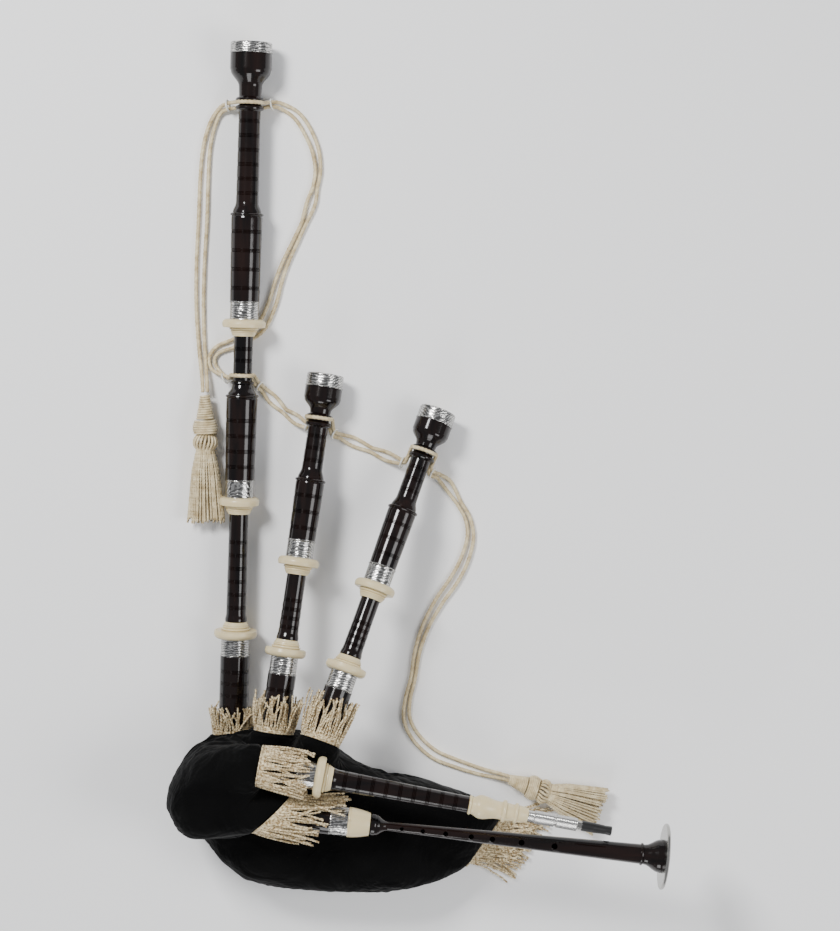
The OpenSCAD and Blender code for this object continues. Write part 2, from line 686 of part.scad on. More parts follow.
module chanter() {
    head = cup_l + 0.4;
    reach = chanter_l / 321;
    color(wood) lay(chanter_at) difference() {
        turned(concat([[chanter_tenon_r - 0.6, -16], [chanter_tenon_r, -15], [chanter_tenon_r, head]],
                      [[11, head], [11.8, head + 1.5], [11.8, head + 5]],
                      cove(head + 6, 11.4, head + 19, chanter_neck_r),
                      [[lerp(chanter_neck_r, chanter_foot_r, 0.5), lerp(head + 20, foot_z - 26, 0.5)],
                       [chanter_foot_r, foot_z - 26]],
                      bead(foot_z - 23, chanter_foot_r, 1.5),
                      cove(foot_z - 20, chanter_foot_r, foot_z - 3, 18, 5),
                      [[18.2, foot_z], [12, foot_z], [12, foot_z + sole_t]]));
        hole(4.2, -17, 12);
        translate([0, 0, 11]) cylinder(h = foot_z + sole_t - 10, r1 = 2.2, r2 = 9);
        for (h = [[59, 2.2], [82, 2.4], [107, 2.6], [135, 2.8], [158, 3], [190, 3.2], [226, 3.3]])
            translate([0, 0, h[0] * reach]) rotate([0, -90, 0]) cylinder(h = 20, r = h[1]);
        translate([0, 0, 70 * reach]) rotate([0, 90, 0]) cylinder(h = 20, r = 2.6);
        translate([0, 0, 282 * reach]) rotate([90, 0, 0]) cylinder(h = 40, r = 3.5, center = true);
    }
}
module chanter_sole() {
    color(silver) lay(chanter_at, foot_z) difference() {
        turned([[sole_r - 0.8, 0], [sole_r, 0.8], [sole_r, sole_t - 1], [sole_r - 1, sole_t]]);
        hole(12, -1, sole_t + 1);
    }
}
module chanter_reed() {
    color(cane) lay(chanter_at) {
        difference() {
            turned([[3, -22], [4.2, -6], [4.2, 11]]);
            hole(1.6, -23, 12);
        }
        difference() {
            translate([0, 0, -44]) scale([0.36, 1, 1]) cylinder(h = 24, r1 = 6.8, r2 = 4.4);
            translate([0, 0, -45]) scale([0.16, 0.8, 1]) cylinder(h = 27, r1 = 6.8, r2 = 4.4);
        }
    }
}

// ---- Fringes ----

module neck_fringe(at, r, tape, length, low) {
    rc = r + neck_gap + cover_t;
    color(silk) lay(at) difference() {
        turned([[rc + 0.9, tape - 4], [rc + 1.1, tape], [r + low, tape + length]]);
        hole(rc, tape - 5, tape);
        hole(r + 1, tape - 1, tape + length + 1);
    }
}
module drone_fringes() {
    difference() {
        union() {
            neck_fringe(bass_at, bass_stock_r, bass_tape, 28, 4.5);
            neck_fringe(tenor_a_at, tenor_stock_r, tenor_a_tape, 38, 4.5);
            neck_fringe(tenor_b_at, tenor_stock_r, tenor_b_tape, 40, 4.5);
        }
        color(silk) bag_form(-0.02, 0);
    }
}
module blowpipe_fringe() {
    difference() {
        neck_fringe(blow_at, blow_stock_r, blow_tape, 34, 3);
        color(silk) bag_form(-0.02, 0);
    }
}
module chanter_fringe() {
    difference() {
        neck_fringe(chanter_at, chanter_stock_r, chanter_tape, 46, 4);
        color(silk) bag_form(-0.02, 0);
    }
}
module tail_fringe() {
    color(silk) translate(origin) {
        translate([0, 0, 6]) linear_extrude(16)
            polygon([[52.6, -454.2], [94.6, -397.2], [97, -399], [55, -456]]);
        translate([0, 0, 0.6]) linear_extrude(6)
            polygon([[52.6, -454.2], [94.6, -397.2], [150, -416], [128, -446], [108, -474]]);
    }
}

// ---- Cords ----

// A round cord swept along its route
module cord(route) {
    n = len(route);
    sides = 8;
    function along(i) = route[min(i + 1, n - 1)] - route[max(i - 1, 0)];
    points = [for (i = [0:n - 1])
        let (t = along(i) / norm(along(i)), s = cross(t, [0, 0, 1]), side = s / norm(s), up = cross(side, t))
        for (k = [0:sides - 1])
            route[i] + cord_d / 2 * (cos(360 * k / sides) * side + sin(360 * k / sides) * up)];
    faces = concat([[for (k = [sides - 1:-1:0]) k]],
        [for (i = [0:n - 2]) for (k = [0:sides - 1])
            each [[i * sides + k, (i + 1) * sides + (k + 1) % sides, (i + 1) * sides + k],
                  [i * sides + k, i * sides + (k + 1) % sides, (i + 1) * sides + (k + 1) % sides]]],
        [[for (k = [0:sides - 1]) (n - 1) * sides + k]]);
    translate(origin) polyhedron(points, faces, convexity = 6);
}

// A turn of cord round a pipe at z, and the two small rings beside it
module turn(r, z) {
    translate([0, 0, z]) {
        rotate_extrude() translate([r + cord_d / 2 + 0.05, 0]) circle(cord_d / 2, $fn = 12);
        for (side = [-1, 1])
            translate([0, side * (r + cord_d + 6.4), 0]) rotate([0, 90, 0])
                rotate_extrude($fn = 24) translate([5, 0]) circle(ring_wire_r, $fn = 8);
    }
}

end_guide = bass_middle_l - 46;
cord_z = cord_d / 2 + 0.3;
function floor_route(p) = [for (q = p) [q[0], q[1], len(q) > 2 ? q[2] : cord_z]];

module cord_bass_top() {
    color(silk) {
        lay_bass_top() turn(bass_stem_r + 0.75, bass_top_l - 67);
        cord(floor_route([[-210, 399, 14], [-220, 400, 8], [-230, 389], [-238, 362], [-242, 330],
                          [-244, 270], [-247, 210], [-246, 140], [-244, 100], [-242, 83, 12]]));
        cord(floor_route([[-172, 401, 14], [-158, 402, 8], [-140, 393], [-126, 375], [-116, 352],
                          [-114, 331], [-117, 314]]));
    }
}
module cord_bass_middle() {
    color(silk) {
        lay(bass_at, bass_bottom_l) turn(pin_r, end_guide);
        cord(floor_route([[-127, 276], [-138, 252], [-150, 230], [-160, 205], [-167, 182], [-178, 155],
                          [-194, 145], [-212, 138], [-228, 130], [-235, 118], [-228, 104],
                          [-213, 98, 8]]));
    }
}
module cord_tenor_a() {
    color(silk) {
        lay_tenor_a_top() turn(tenor_stem_r + 0.75, tenor_top_l - 52);
        cord(floor_route([[-142, 56], [-134, 50, 6], [-127, 45, 12]]));
        cord(floor_route([[-98, 36, 12], [-85, 31, 5], [-74, 26]]));
    }
}
module cord_tenor_b() {
    color(silk) {
        lay_tenor_b_top() turn(tenor_stem_r + 0.75, tenor_top_l - 52);
        cord(floor_route([[-34, 10], [-24, 7, 8], [-18, 5, 16]]));
        cord(floor_route([[16, -7, 16], [24, -13, 7], [32, -22]]));
    }
}
module cord_tail() {
    color(silk) {
        cord(floor_route([[-176, 84], [-168, 75], [-160, 68]]));
        cord(floor_route([[-60, 20], [-54, 17], [-48, 15]]));
        cord(floor_route([[44, -40], [54, -60], [57, -84], [49, -110], [36, -134], [16, -162],
                          [1, -192], [-7, -220], [-10, -250], [-16, -276], [-10, -303], [10, -328],
                          [40, -341], [70, -351], [97, -356, 8]]));
    }
}

module tassel(r, l) {
    turned(concat([[3.4, 0]], cove(1, 4.5, l * 0.2, 9.5, 5), bead(l * 0.245, r - 4, 4),
                  [[r - 1, l * 0.3]], bead(l * 0.36, r - 4.6, 4.6), [[r, l * 0.41], [r, l * 0.97]],
                  [[r - 1.5, l]]));
}
module tassel_left() {
    color(silk) translate(origin + [-241, 81, knot_r + 1.6]) rotate([90, 0, 0]) tassel(knot_r, tassel_l + 8);
}
module tassel_right() {
    color(silk) translate(origin + [101, -357, knot_r + 1.6]) rotate([0, 90, -20])
        tassel(knot_r, tassel_l * 0.8);
}

bag();
bag_cover();
stock_bindings();
bass_stock();
tenor_a_stock();
tenor_b_stock();
blowpipe_stock();
chanter_stock();
stock_ferrules();
chanter_stock_cup();
drone_reeds();
tenon_hemp();
bass_bottom_joint();
bass_bottom_mount();
tenor_a_bottom_joint();
tenor_a_bottom_mount();
tenor_b_bottom_joint();
tenor_b_bottom_mount();
bass_middle_joint();
bass_middle_mount();
bass_middle_ferrule();
bass_middle_hemp();
bass_top_joint();
bass_top_mount();
bass_top_ferrule();
bass_ring_cap();
bass_bell_bush();
tenor_a_top_joint();
tenor_a_top_mount();
tenor_a_top_ferrule();
tenor_a_ring_cap();
tenor_a_bell_bush();
tenor_b_top_joint();
tenor_b_top_mount();
tenor_b_top_ferrule();
tenor_b_ring_cap();
tenor_b_bell_bush();
blowpipe_stick();
blowpipe_mount();
blowpipe_bulb();
valve_body();
valve_flap();
adjusting_sleeve();
lock_collar();
mouthpiece_tube();
mouthpiece_tip();
chanter();
chanter_sole();
chanter_reed();
drone_fringes();
blowpipe_fringe();
chanter_fringe();
tail_fringe();
cord_bass_top();
cord_bass_middle();
cord_tenor_a();
cord_tenor_b();
cord_tail();
tassel_left();
tassel_right();
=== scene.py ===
import math
import random

import bmesh
import bpy
import numpy as np
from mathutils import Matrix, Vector


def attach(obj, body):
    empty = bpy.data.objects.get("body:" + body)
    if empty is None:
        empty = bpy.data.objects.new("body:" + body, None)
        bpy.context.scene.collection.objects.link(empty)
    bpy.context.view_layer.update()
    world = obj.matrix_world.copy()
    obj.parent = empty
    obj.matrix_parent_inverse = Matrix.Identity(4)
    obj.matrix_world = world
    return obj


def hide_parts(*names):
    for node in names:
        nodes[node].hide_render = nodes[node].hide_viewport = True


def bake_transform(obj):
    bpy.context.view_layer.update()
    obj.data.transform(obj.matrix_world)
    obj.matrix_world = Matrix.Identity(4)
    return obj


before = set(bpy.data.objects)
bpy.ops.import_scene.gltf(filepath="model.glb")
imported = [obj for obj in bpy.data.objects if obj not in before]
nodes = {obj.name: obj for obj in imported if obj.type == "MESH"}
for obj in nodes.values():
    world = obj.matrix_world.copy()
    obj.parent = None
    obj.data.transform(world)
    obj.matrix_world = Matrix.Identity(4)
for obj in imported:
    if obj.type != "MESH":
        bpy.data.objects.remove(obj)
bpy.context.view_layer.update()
scene = bpy.context.scene

# ---- Camera, floor and light ----
# The camera looks down from 2.5 m, 5 degrees to the bells' side of straight above.
# Aimed at the middle of the picture; a plain pale floor and two soft lights.
aim = Vector((0.004, 0.003, 0.0))
tilt = math.radians(5)
camera = bpy.data.objects.new("camera", bpy.data.cameras.new("camera"))
scene.collection.objects.link(camera)
camera.data.lens = 85.5
camera.data.sensor_width = 36
camera.data.clip_end = 20
camera.location = aim + 2.5 * Vector((0, math.sin(tilt), math.cos(tilt)))
camera.rotation_euler = (-tilt, 0, 0)
scene.camera = camera

bpy.ops.mesh.primitive_plane_add(size=6, location=(0, 0, -0.0004))
floor = bpy.context.object
floor.name = "floor"
m = bpy.data.materials.new("floor")
m.use_nodes = True
m.node_tree.nodes["Principled BSDF"].inputs["Base Color"].default_value = (1.0, 1.0, 1.0, 1)
m.node_tree.nodes["Principled BSDF"].inputs["Roughness"].default_value = 0.9
floor.data.materials.append(m)
for name, place, size, power in [
    ("key", (-1.1, 1.2, 1.9), 0.6, 62),
    ("fill", (1.5, -0.3, 1.6), 1.0, 24),
    ("low", (-0.5, -1.9, 0.9), 0.8, 13),
]:
    lamp = bpy.data.objects.new(name, bpy.data.lights.new(name, "AREA"))
    scene.collection.objects.link(lamp)
    lamp.data.energy = power
    lamp.data.size = size
    lamp.location = place
    lamp.rotation_euler = (Vector((0, 0, 0)) - lamp.location).to_track_quat("-Z", "Y").to_euler()
world = bpy.data.worlds.new("world")
scene.world = world
world.use_nodes = True
world.node_tree.nodes["Background"].inputs["Color"].default_value = (0.93, 0.95, 1, 1)
world.node_tree.nodes["Background"].inputs["Strength"].default_value = 0.36

# ---- Silk ----
# Straw-gold silk and bullion: a soft sheen over a colour that varies a little along it. The bullion's colour is
# mottled more strongly: its pale patches are painted highlights and its dark ones painted shade of the twist's
# crevices.
# The same tree sweeps every cord and every fringe strand: lobes twisted about a path.
silk = bpy.data.materials.new("silk")
silk.use_nodes = True
t = silk.node_tree
b = t.nodes["Principled BSDF"]
co = t.nodes.new("ShaderNodeTexCoord")
noise = t.nodes.new("ShaderNodeTexNoise")
noise.inputs["Scale"].default_value = 130
noise.inputs["Detail"].default_value = 3
ramp = t.nodes.new("ShaderNodeValToRGB")
ramp.color_ramp.elements[0].position = 0.3
ramp.color_ramp.elements[0].color = (0.50, 0.38, 0.19, 1)
ramp.color_ramp.elements[1].position = 0.72
ramp.color_ramp.elements[1].color = (0.86, 0.74, 0.48, 1)
t.links.new(co.outputs["Object"], noise.inputs["Vector"])
t.links.new(noise.outputs["Fac"], ramp.inputs["Fac"])
t.links.new(ramp.outputs["Color"], b.inputs["Base Color"])
b.inputs["Roughness"].default_value = 0.42
b.inputs["Sheen Weight"].default_value = 0.35
b.inputs["Sheen Roughness"].default_value = 0.4

gold_painted_light = silk.copy()
gold_painted_light.name = "bullion"
g = gold_painted_light.node_tree
g.nodes["Noise Texture"].inputs["Scale"].default_value = 420
# Painted light: the ramp runs from dark brown, painted crevice shade, to pale gold, painted highlights, scattered
# at random by the noise.
g.nodes["Color Ramp"].color_ramp.elements[0].position = 0.38
g.nodes["Color Ramp"].color_ramp.elements[0].color = (0.33, 0.21, 0.08, 1)
g.nodes["Color Ramp"].color_ramp.elements[1].position = 0.62
g.nodes["Color Ramp"].color_ramp.elements[1].color = (0.93, 0.80, 0.52, 1)
g.nodes["Principled BSDF"].inputs["Metallic"].default_value = 0.25
g.nodes["Principled BSDF"].inputs["Roughness"].default_value = 0.36

twist = bpy.data.node_groups.new("Twisted strands", "GeometryNodeTree")
face = twist.interface
face.new_socket("Geometry", in_out="INPUT", socket_type="NodeSocketGeometry")
for name, kind, value in [
    ("Radius", "NodeSocketFloat", 0.0023), ("Step", "NodeSocketFloat", 0.0015),
    ("Turns per metre", "NodeSocketFloat", 90.0), ("Lobes", "NodeSocketInt", 3),
    ("Lobe depth", "NodeSocketFloat", 0.16), ("Sides", "NodeSocketInt", 12),
    ("Material", "NodeSocketMaterial", None),
]:
    s = face.new_socket(name, in_out="INPUT", socket_type=kind)
    if value is not None:
        s.default_value = value
face.new_socket("Geometry", in_out="OUTPUT", socket_type="NodeSocketGeometry")
N = twist.nodes
L = twist.links.new
gi = N.new("NodeGroupInput")
go = N.new("NodeGroupOutput")
resample = N.new("GeometryNodeResampleCurve")
if "Mode" in resample.inputs:
    resample.inputs["Mode"].default_value = "Length"
else:
    resample.mode = "LENGTH"
L(gi.outputs["Geometry"], resample.inputs["Curve"])
L(gi.outputs["Step"], resample.inputs["Length"])
along = N.new("GeometryNodeSplineParameter")
turn = N.new("ShaderNodeMath")
turn.operation = "MULTIPLY"
L(along.outputs["Length"], turn.inputs[0])
L(gi.outputs["Turns per metre"], turn.inputs[1])
radians = N.new("ShaderNodeMath")
radians.operation = "MULTIPLY"
radians.inputs[1].default_value = 2 * math.pi
L(turn.outputs[0], radians.inputs[0])
tilted = N.new("GeometryNodeSetCurveTilt")
L(resample.outputs["Curve"], tilted.inputs["Curve"])
L(radians.outputs[0], tilted.inputs["Tilt"])
ring = N.new("GeometryNodeCurvePrimitiveCircle")
L(gi.outputs["Sides"], ring.inputs["Resolution"])
L(gi.outputs["Radius"], ring.inputs["Radius"])
around = N.new("GeometryNodeSplineParameter")
angle = N.new("ShaderNodeMath")
angle.operation = "MULTIPLY"
L(around.outputs["Factor"], angle.inputs[0])
lobes = N.new("ShaderNodeMath")
lobes.operation = "MULTIPLY"
lobes.inputs[1].default_value = math.pi
L(gi.outputs["Lobes"], lobes.inputs[0])
L(lobes.outputs[0], angle.inputs[1])
wave = N.new("ShaderNodeMath")
wave.operation = "SINE"
L(angle.outputs[0], wave.inputs[0])
bump = N.new("ShaderNodeMath")
bump.operation = "ABSOLUTE"
L(wave.outputs[0], bump.inputs[0])
deep = N.new("ShaderNodeMath")
deep.operation = "MULTIPLY"
L(bump.outputs[0], deep.inputs[0])
L(gi.outputs["Lobe depth"], deep.inputs[1])
grow = N.new("ShaderNodeMath")
grow.operation = "ADD"
L(deep.outputs[0], grow.inputs[0])
less = N.new("ShaderNodeMath")
less.operation = "SUBTRACT"
less.inputs[0].default_value = 1.0
L(gi.outputs["Lobe depth"], less.inputs[1])
L(less.outputs[0], grow.inputs[1])
place = N.new("GeometryNodeInputPosition")
scaled = N.new("ShaderNodeVectorMath")
scaled.operation = "SCALE"
L(place.outputs[0], scaled.inputs[0])
L(grow.outputs[0], scaled.inputs["Scale"])
shaped = N.new("GeometryNodeSetPosition")
L(ring.outputs["Curve"], shaped.inputs["Geometry"])
L(scaled.outputs[0], shaped.inputs["Position"])
swept = N.new("GeometryNodeCurveToMesh")
swept.inputs["Fill Caps"].default_value = True
L(tilted.outputs["Curve"], swept.inputs["Curve"])
L(shaped.outputs["Geometry"], swept.inputs["Profile Curve"])
smooth = N.new("GeometryNodeSetShadeSmooth")
L(swept.outputs["Mesh"], smooth.inputs["Geometry"] if "Geometry" in smooth.inputs else smooth.inputs["Mesh"])
real = N.new("GeometryNodeRealizeInstances")
L(smooth.outputs[0], real.inputs["Geometry"])
paint = N.new("GeometryNodeSetMaterial")
L(real.outputs["Geometry"], paint.inputs["Geometry"])
L(gi.outputs["Material"], paint.inputs["Material"])
L(paint.outputs["Geometry"], go.inputs["Geometry"])


def sweep(name, paths, **values):
    """One mesh of twisted strands, one along each list of points."""
    curve = bpy.data.curves.new(name + " paths", "CURVE")
    curve.dimensions = "3D"
    for p in paths:
        s = curve.splines.new("POLY")
        s.points.add(len(p) - 1)
        s.points.foreach_set("co", np.hstack([p, np.ones((len(p), 1))]).ravel())
    holder = bpy.data.objects.new(name + " paths", curve)
    scene.collection.objects.link(holder)
    mod = holder.modifiers.new("twist", "NODES")
    mod.node_group = twist
    for item in twist.interface.items_tree:
        if item.in_out == "INPUT" and item.name in values:
            mod[item.identifier] = values[item.name]
    bpy.context.view_layer.update()
    mesh = bpy.data.meshes.new_from_object(holder.evaluated_get(bpy.context.evaluated_depsgraph_get()))
    bpy.data.objects.remove(holder)
    obj = bpy.data.objects.new(name, mesh)
    scene.collection.objects.link(obj)
    return obj


# The layout is in mm; this puts its zero under the middle of the whole instrument
origin = (4, 3)


class Pipe:
    """Where a pipe leaves its stock, in metres, with its heading and rise in degrees."""

    def __init__(self, x, y, z, heading, rise):
        h = math.radians(heading)
        r = math.radians(rise)
        self.at = np.array([x + origin[0], y + origin[1], z]) / 1000
        self.dir = np.array([math.cos(r) * math.cos(h), math.cos(r) * math.sin(h), math.sin(r)])
        self.left = np.array([-math.sin(h), math.cos(h), 0])
        self.up = np.cross(self.dir, self.left)

    def point(self, s, r=0.0, a=0.0):
        """s mm along, r mm out, a degrees round from the left side over the top."""
        a = math.radians(a)
        return self.at + self.dir * s / 1000 + r / 1000 * (math.cos(a) * self.left + math.sin(a) * self.up)


# x, y and height of the stock's mouth, heading, rise
bass = Pipe(-208, -193, 24.6, 88.05, 0)
tenor_a = Pipe(-150, -207, 66, 81.8, -8)
tenor_b = Pipe(-83, -219.5, 98.6, 69.9, -14.5)
blow = Pipe(-113, -322, 151, -10.7, 0)
chanter = Pipe(-78.5, -378, 128, -6.5, -0.5)

# ---- Cords ----
# A doubled silk cord runs from one tassel to the other, its two strands parting over and
# under each drone at its guide. It is in pieces where a drone slides past its neighbour.
cord_d = 0.0046
floor_z = 2.8
# Each span: name, body, body it stretches to, points to the guide, guide (pipe, mm along
# it, radius of the turn), and points after the guide
spans = [
    ("left", "bass_top", None, [(-241, 84, 14), (-242, 100, 9), (-245, 130), (-247, 175), (-246, 225),
     (-243, 275), (-241, 320), (-238, 355), (-231, 382), (-221, 398, 5), (-212, 402, 13)],
     (bass, 595, 15.7), [(-165, 403, 13), (-155, 402, 6), (-139, 393), (-127, 377), (-117, 354), (-114, 331),
                         (-117, 312)]),
    ("right", "bass_top", "bass_middle", [(-117, 312), (-122, 294), (-130, 272)], None, []),
    ("crossing", "bass_middle", None, [(-130, 272), (-140, 251), (-151, 228), (-159, 206), (-166, 182),
     (-178, 157), (-194, 145), (-212, 137), (-227, 131), (-234, 121), (-230, 109, 5), (-217, 98, 12)],
     (bass, 294, 13.1), [(-182, 92, 12), (-176, 86, 4)]),
    ("span_1", "bass_middle", "instrument", [(-176, 86, 4), (-166, 75), (-153, 62)], None, []),
    ("span_2", "instrument", "tenor_a_top", [(-153, 62), (-140, 53, 5), (-127, 46, 15)], None, []),
    ("loop_a", "tenor_a_top", None, [(-127, 46, 15), (-124, 45, 22)], (tenor_a, 265, 14.7),
     [(-97, 38, 20), (-88, 33, 7)]),
    ("span_3", "tenor_a_top", "instrument", [(-88, 33, 7), (-75, 27), (-55, 18)], None, []),
    ("span_4", "instrument", "tenor_b_top", [(-55, 18), (-38, 11, 4), (-22, 6, 17)], None, []),
    ("loop_b", "tenor_b_top", None, [(-22, 6, 17), (-17, 4, 26)], (tenor_b, 259, 14.7),
     [(11, -5, 24), (21, -11, 10)]),
    ("span_5", "tenor_b_top", "instrument", [(21, -11, 10), (31, -21), (44, -42)], None, []),
    ("tail", "instrument", None, [(44, -42), (54, -60), (57, -82), (50, -108), (38, -131), (22, -154),
     (7, -182), (-3, -212), (-8, -243), (-14, -267), (-15, -290), (-5, -311), (15, -330), (40, -341),
     (70, -351), (90, -355, 6), (103, -357, 13)], None, []),
]


def route(points, step=0.0015):
    """A smooth line through the points, in even steps."""
    p = np.array(points, float)
    p = np.vstack([2 * p[0] - p[1], p, 2 * p[-1] - p[-2]])
    fine = []
    for i in range(1, len(p) - 2):
        for u in np.linspace(0, 1, 16, endpoint=False):
            fine.append(0.5 * (2 * p[i] + (p[i + 1] - p[i - 1]) * u
                               + (2 * p[i - 1] - 5 * p[i] + 4 * p[i + 1] - p[i + 2]) * u * u
                               + (3 * p[i] - p[i - 1] - 3 * p[i + 1] + p[i + 2]) * u ** 3))
    fine = np.array(fine + [p[-2]])
    run = np.concatenate([[0], np.cumsum(np.linalg.norm(np.diff(fine, axis=0), axis=1))])
    n = max(2, round(run[-1] / step))
    return np.stack([np.interp(np.linspace(0, run[-1], n + 1), run, fine[:, k]) for k in range(3)], 1)


def to_metres(points):
    """Points in mm, with those that give no height resting on the table."""
    return [np.array([p[0] + origin[0], p[1] + origin[1], p[2] if len(p) > 2 else floor_z]) / 1000
            for p in points]


def beside(points, side, part=0.0, swings=1):
    """The same line moved to one side by half a cord's thickness."""
    p = np.array(points)
    d = np.gradient(p, axis=0)
    d[:, 2] = 0
    d /= np.maximum(np.linalg.norm(d, axis=1, keepdims=True), 1e-9)
    apart = cord_d * (0.53 + part * np.sin(np.linspace(0, math.pi * swings, len(p))) ** 2)
    return p + side * apart[:, None] * np.stack([-d[:, 1], d[:, 0], 0 * d[:, 0]], 1)


cord_nodes = {"bass_top": "cord_bass_top", "bass_middle": "cord_bass_middle", "tenor_a_top": "cord_tenor_a",
              "tenor_b_top": "cord_tenor_b", "instrument": "cord_tail"}
for name, body, other, first, loop, last in spans:
    for strand, side in (("over", 1), ("under", -1)):
        points = list(beside(to_metres(first), side, 0.5, 2 if name == "tail" else 1))
        if loop:
            pipe, s, r = loop
            points = points[:None if side > 0 else -1]
            s += 2.4 * side
            # The lower strand takes less of the turn, since it comes in under the pipe
            turn_at = (10, 35, 60, 90, 120, 145, 170) if side > 0 else (42, 65, 90, 115, 138)
            points += [pipe.point(s, r, side * a) for a in turn_at]
            points += list(beside(to_metres(last), side, 0.4))
        line = route(points)
        line[:, 2] = np.maximum(line[:, 2], floor_z / 1000)
        cord = sweep(f"cord_{name}_{strand}", [line], Radius=cord_d / 2 * 1.02, Step=0.0015, Sides=12,
                     **{"Turns per metre": 75.0, "Lobes": 3, "Lobe depth": 0.2, "Material": silk})
        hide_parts(cord_nodes[body])
        if other:
            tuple(line[0])
            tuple(line[-1])
            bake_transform(cord)
        else:
            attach(cord, body)
        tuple(line[0])

# ---- Small rings on the cords ----
# Pale rings slipped over the doubled cord on either side of each guide.
# Each stands round the cord where it leaves the drone.
pale = bpy.data.materials.new("ring")
pale.use_nodes = True
t = pale.node_tree
co = t.nodes.new("ShaderNodeTexCoord")
noise = t.nodes.new("ShaderNodeTexNoise")
noise.inputs["Scale"].default_value = 220
ramp = t.nodes.new("ShaderNodeValToRGB")
ramp.color_ramp.elements[0].color = (0.70, 0.69, 0.62, 1)
ramp.color_ramp.elements[1].color = (0.86, 0.86, 0.82, 1)
t.links.new(co.outputs["Object"], noise.inputs["Vector"])
t.links.new(noise.outputs["Fac"], ramp.inputs["Fac"])
t.links.new(ramp.outputs["Color"], t.nodes["Principled BSDF"].inputs["Base Color"])
t.nodes["Principled BSDF"].inputs["Roughness"].default_value = 0.2
for body, places in {
    "bass_top": [((-213, 402, 12), 12), ((-164, 403, 12), 12)],
    "bass_middle": [((-219, 99, 10), 30), ((-180, 90, 10), -35)],
    "tenor_a_top": [((-126, 46, 17), -30), ((-96, 37, 18), -25)],
    "tenor_b_top": [((-20, 5, 21), -20), ((14, -7, 20), -30)],
}.items():
    for i, (p, heading) in enumerate(places):
        bpy.ops.mesh.primitive_torus_add(
            location=(Vector(p) + Vector((*origin, 0))) / 1000,
            rotation=(0, math.radians(75), math.radians(heading)),
            major_radius=0.0058, minor_radius=0.0011, major_segments=32, minor_segments=10)
        torus = bpy.context.object
        torus.name = f"cord_ring_{body}_{i}"
        bpy.ops.object.transform_apply(location=True, rotation=True)
        torus.data.materials.append(pale)
        torus.data.shade_smooth()
        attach(torus, body)

# ---- Fringes and the braid that holds them ----
# Twisted bullion strands hang from a band of braid round each neck of the cover,
# spread over the stock and fall towards the table; another row lies out from the tail.
rng = random.Random(7)
cover_out = 4.9
bullion_strand = {"Radius": 0.0013, "Step": 0.0008, "Sides": 6, "Material": gold_painted_light,
                  "Turns per metre": 165.0, "Lobes": 2, "Lobe depth": 0.6}
# Each neck: pipe, stock radius, place of the braid, strand length, strands in a row, and how
# far the braid runs askew
for node, stocks in {
    "drone_fringes": [(bass, 16.5, -105, 29, 42, 0), (tenor_a, 15.6, -80, 38, 42, 0),
                      (tenor_b, 15.6, -74, 46, 42, 0)],
    "blowpipe_fringe": [(blow, 15.6, -57, 52, 54, 0)],
    "chanter_fringe": [(chanter, 16.4, -80, 60, 58, 19)],
}.items():
    strands, braid = [], []
    for pipe, r, tape, length, count, skew in stocks:
        for row in range(2):
            for k in range(count):
                a = 360 * (k + 0.5 * row + rng.uniform(-0.3, 0.3)) / count
                long = length * rng.uniform(0.72, 1.08)
                lean = rng.gauss(0, 17)
                lift = abs(rng.gauss(1.5, 3.5)) + row * 2
                curl, phase = rng.uniform(0, 5), rng.uniform(0, 6.28)
                from_tape = tape + skew * math.cos(math.radians(a))
                line = []
                for u in np.linspace(0, 1, 12):
                    out = r + cover_out + 0.9 + lift * u ** 0.8 - (cover_out - 1.6) * u * (1 - row * 0.6)
                    round_to = a + lean * u * u + curl * u * math.sin(6 * u + phase)
                    p = pipe.point(from_tape - 2 + long * u, max(out, r + 1.8), round_to)
                    p[2] = max(p[2] - 0.004 * u * u * (1 - math.sin(math.radians(a))), 0.0016)
                    axis = pipe.point(from_tape - 2 + long * u)
                    if np.linalg.norm(p - axis) < (r + 1.8) / 1000:
                        p = axis + (p - axis) * (r + 1.8) / 1000 / np.linalg.norm(p - axis)
                    line.append(p)
                strands.append(np.array(line))
        for s in (-3.5, -1.4, 0.7):
            braid.append(np.array([
                pipe.point(tape + skew * math.cos(math.radians(a)) + s, r + cover_out + 1.0, a)
                for a in np.arange(0, 361, 6)]))
    a = sweep(node + "_strands", strands, **bullion_strand)
    b = sweep(node + "_braid", braid, Radius=0.0013, Step=0.0012, Sides=8, Material=gold_painted_light,
              **{"Turns per metre": 220.0, "Lobes": 3, "Lobe depth": 0.3})
    for o in (a, b):
        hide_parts(node)
        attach(o, "instrument")

tail_a = np.array([94.5, -397.5])
tail_b = np.array([52.5, -454.5])
tail_count = 40
strands = []
for row in range(3):
    for k in range(tail_count):
        u = (k + 0.5 * (row % 2) + rng.uniform(-0.3, 0.3)) / tail_count
        start = (tail_a + (tail_b - tail_a) * u + np.array(origin)) / 1000
        fan = math.radians(-9 + 6 * (0.5 - u) * 2 + rng.gauss(0, 5))
        long = 0.056 * rng.uniform(0.78, 1.08)
        line = []
        for w in np.linspace(0, 1, 14):
            bend = fan + math.radians(rng.uniform(-1, 1)) + 0.25 * w * math.sin(k * 1.7 + row)
            fall = 0.019 - row * 0.003
            z = max(0.0015 + row * 0.0018, fall * (1 - min(1, w * 2.2)) ** 1.4 + 0.0015 + row * 0.0018)
            line.append([start[0] + long * w * math.cos(bend), start[1] + long * w * math.sin(bend), z])
        strands.append(np.array(line))
a = sweep("tail_fringe_strands", strands, **bullion_strand)
braid = []
for z in (0.012, 0.0145, 0.017, 0.0195):
    line = [(tail_a + (tail_b - tail_a) * u + np.array(origin) + np.array([0.9, -0.6]) * 1.6) / 1000
            for u in np.linspace(-0.03, 1.03, 20)]
    braid.append(np.array([[p[0], p[1], z] for p in line]))
